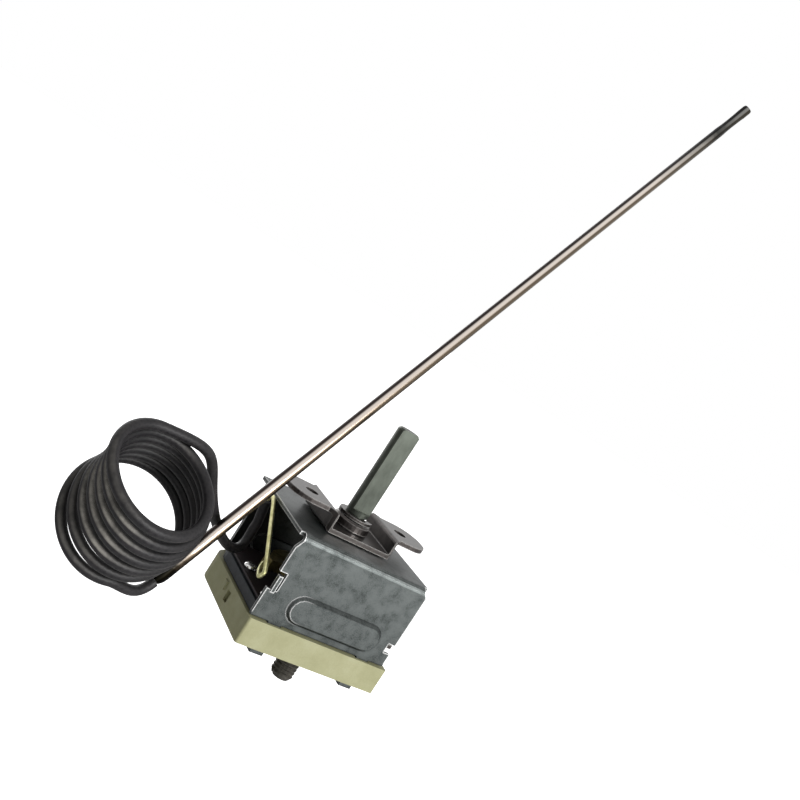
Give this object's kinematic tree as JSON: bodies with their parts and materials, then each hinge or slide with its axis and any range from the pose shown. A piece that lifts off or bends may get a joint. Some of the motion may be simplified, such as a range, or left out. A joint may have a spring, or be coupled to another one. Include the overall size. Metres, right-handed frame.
{
  "type": "capillary thermostat",
  "caption": "Panel-mounted capillary oven control with a flatted spindle, a ribbed sheet cover, a ceramic switch base, and a coiled capillary ending in a long straight phial.",
  "frame": {"origin": "on the spindle's axis, in the plane of the two ears' upper faces, which bear on the back of the panel the part is screwed to", "axes": "+Z along the spindle towards the knob; +X along the body towards the cover's right end; the coil and the cover's open end are at -X; -Y is the ribbed side seen in the picture"},
  "size_m": [0.1471, 0.0939, 0.2033],
  "materials": {
    "zinc_plate": "zinc plated, satin",
    "dark_zinc": "zinc plated, darker passivation",
    "steatite": "unglazed steatite ceramic, cream",
    "spindle_steel": "turned steel, satin",
    "dark_moulding": "dark moulded phenolic",
    "bare_copper": "bare copper alloy, drawn",
    "sleeve": "black glass-silicone sleeve",
    "stainless": "drawn stainless tube, heat-tinted tip",
    "brass": "brass, plain",
    "silver": "silver contacts and nickel-plated rivets",
    "pressed_board": "pressed insulating board, near black",
    "black_oxide": "blackened steel",
    "varnish": "yellow locking varnish"
  },
  "bodies": {
    "frame": {"cover": "zinc_plate", "mount_plate": "dark_zinc", "spindle_bush": "dark_zinc", "base": "steatite", "switch_block": "dark_moulding", "insulating_board": "pressed_board", "board_rivet_front": "silver", "board_rivet_rear": "silver", "fixed_terminal": "brass", "common_terminal": "brass", "fixed_contact": "silver", "root_rivet": "brass", "bare_capillary": "bare_copper", "capillary_coil": "sleeve", "phial": "stainless", "calibration_screw": "black_oxide", "varnish_seal": "varnish"},
    "spindle": {"spindle": "spindle_steel", "stop_disc": "dark_zinc", "retaining_clip": "dark_zinc"},
    "capsule": {"diaphragm_capsule": "bare_copper", "thrust_cup": "brass"},
    "lever": {"switch_lever": "dark_zinc", "push_pin": "steatite"},
    "blade": {"snap_blade": "brass", "moving_contact": "silver"}
  },
  "joints": [
    {"name": "spindle_turn", "type": "hinge", "parent": "frame", "child": "spindle", "pos_m": [0, 0, 0], "axis": [0, 0, -1], "range_deg": [0, 270]},
    {"name": "capsule_travel", "type": "slide", "parent": "frame", "child": "capsule", "axis": [0, 0, 1], "range_m": [0, 0.0006]},
    {"name": "lever_rock", "type": "hinge", "parent": "frame", "child": "lever", "pos_m": [0.0181, 0, -0.0224], "axis": [0, -1, 0], "range_deg": [0, 1.75], "stiffness_Nm_per_rad": 0.5, "springref_deg": -1.15},
    {"name": "blade_flex", "type": "hinge", "parent": "frame", "child": "blade", "pos_m": [0.008, 0.003, -0.02925], "axis": [0, -1, 0], "range_deg": [0, 3.7]}
  ],
  "couplings": [
    {"joint": "spindle_turn", "follows": "capsule_travel", "rad_per_m": 7850},
    {"joint": "blade_flex", "follows": "lever_rock", "ratio": 2.063}
  ]
}
